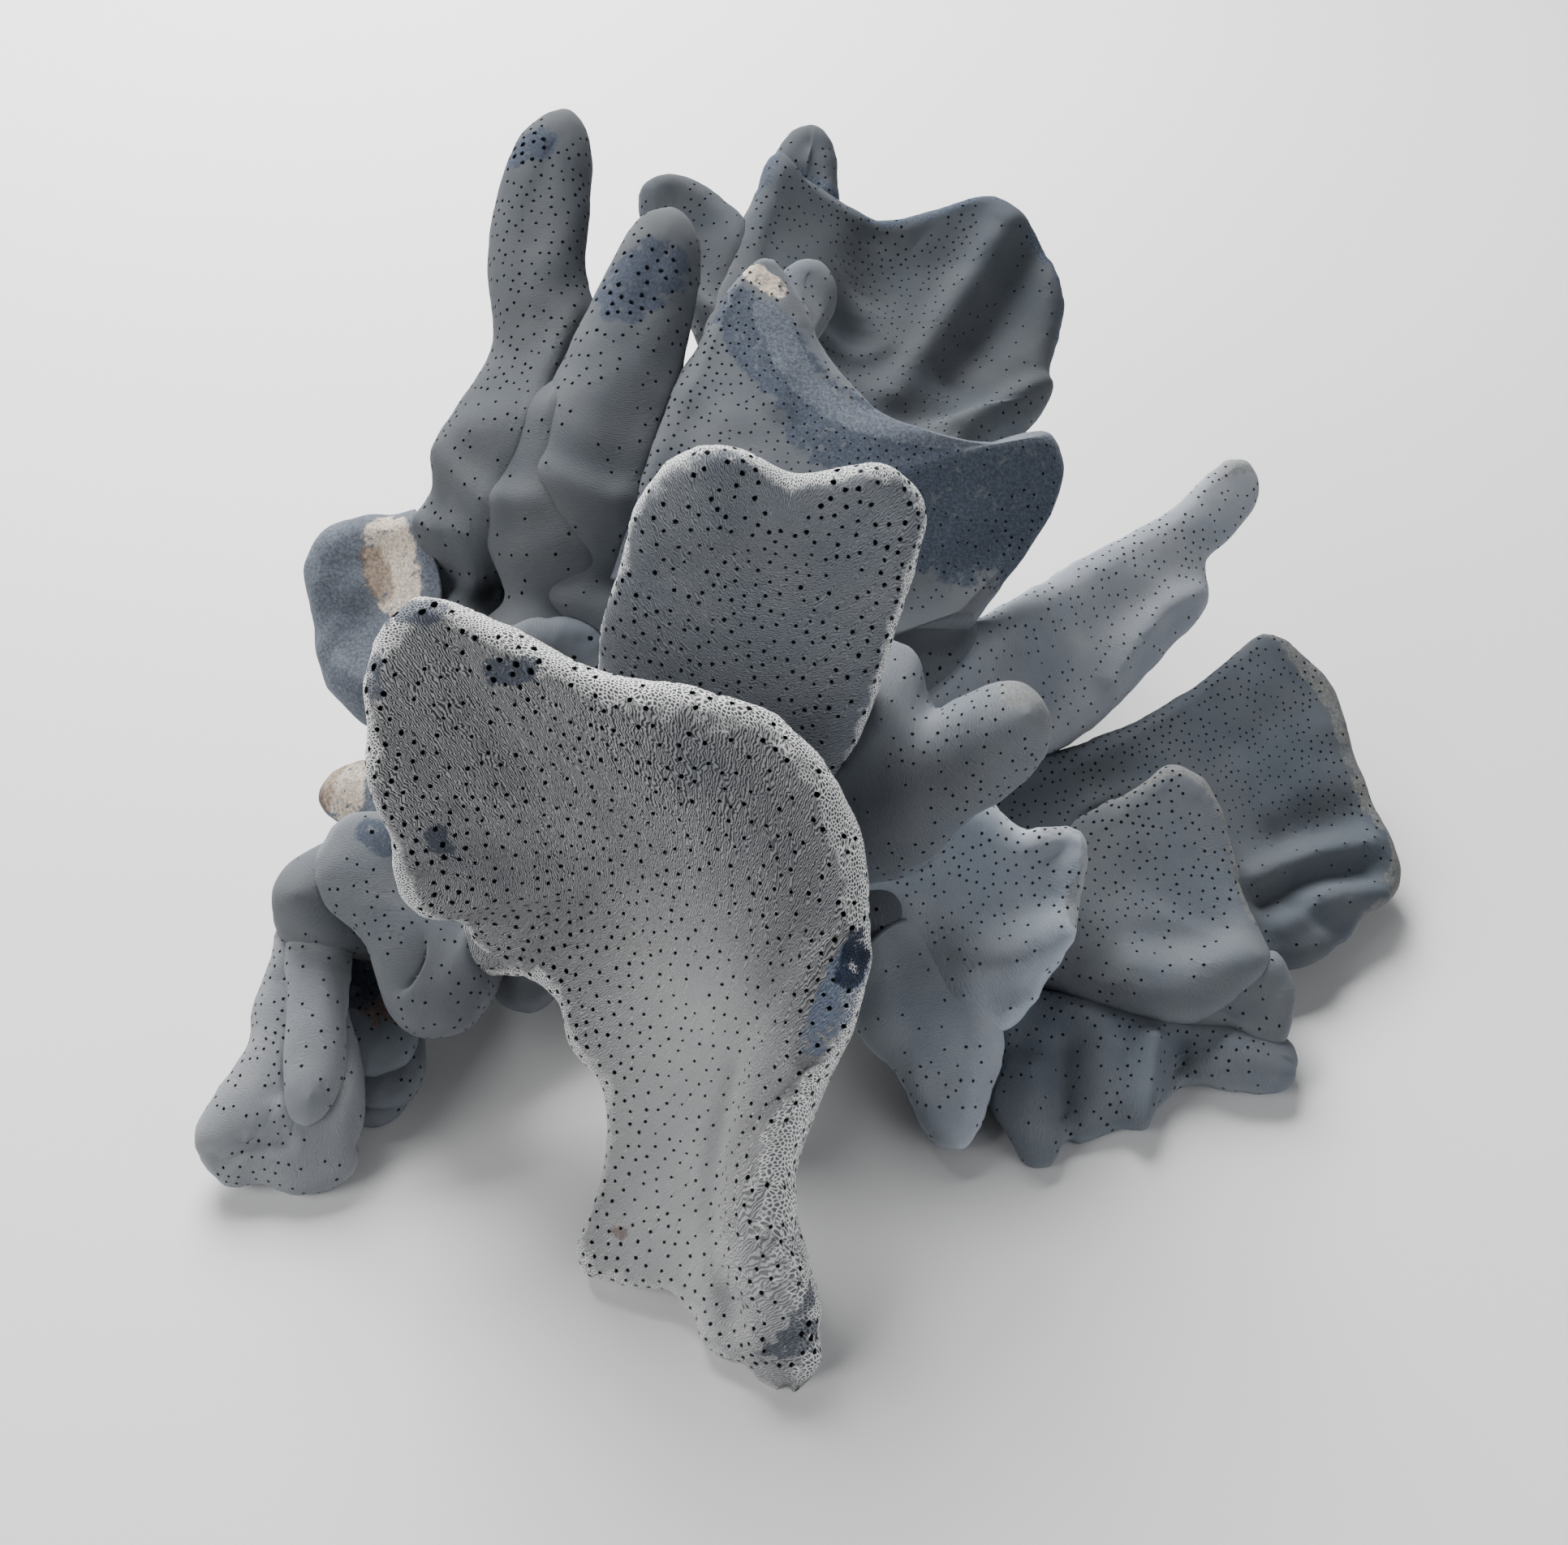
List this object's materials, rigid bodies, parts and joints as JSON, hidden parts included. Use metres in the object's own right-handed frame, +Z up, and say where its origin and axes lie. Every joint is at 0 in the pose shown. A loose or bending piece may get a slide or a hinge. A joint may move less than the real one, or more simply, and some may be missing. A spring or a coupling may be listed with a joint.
{
  "type": "blue ridge coral",
  "caption": "Dry piece of blue ridge coral: flattened grey-blue blades, fans and fingers with pitted faces, spreading from one knotted base that is cut flat underneath.",
  "frame": {"origin": "middle of the flat cut under the base", "axes": "+Z up out of the cut, -Y towards the large front blade, +X towards the fans on the right"},
  "size_m": [0.1577, 0.1732, 0.0793],
  "materials": {
    "coral_skin": "dry, matt, finely ridged and pitted",
    "coral_break": "dry, rough fracture with cream and brown stains"
  },
  "bodies": {
    "root": {"base": "coral_skin", "front_blade": "coral_skin", "centre_blade": "coral_skin", "tall_finger": "coral_skin", "short_finger": "coral_skin", "broken_plate": "coral_skin", "back_fan": "coral_skin", "right_finger": "coral_skin", "right_frond": "coral_skin", "right_back_fan": "coral_skin", "right_mid_fan": "coral_skin", "right_front_fan": "coral_skin", "right_foot": "coral_skin", "left_shoulder": "coral_skin", "left_knee": "coral_skin", "left_foot": "coral_skin", "left_back_foot": "coral_skin", "stump": "coral_break"}
  },
  "joints": []
}
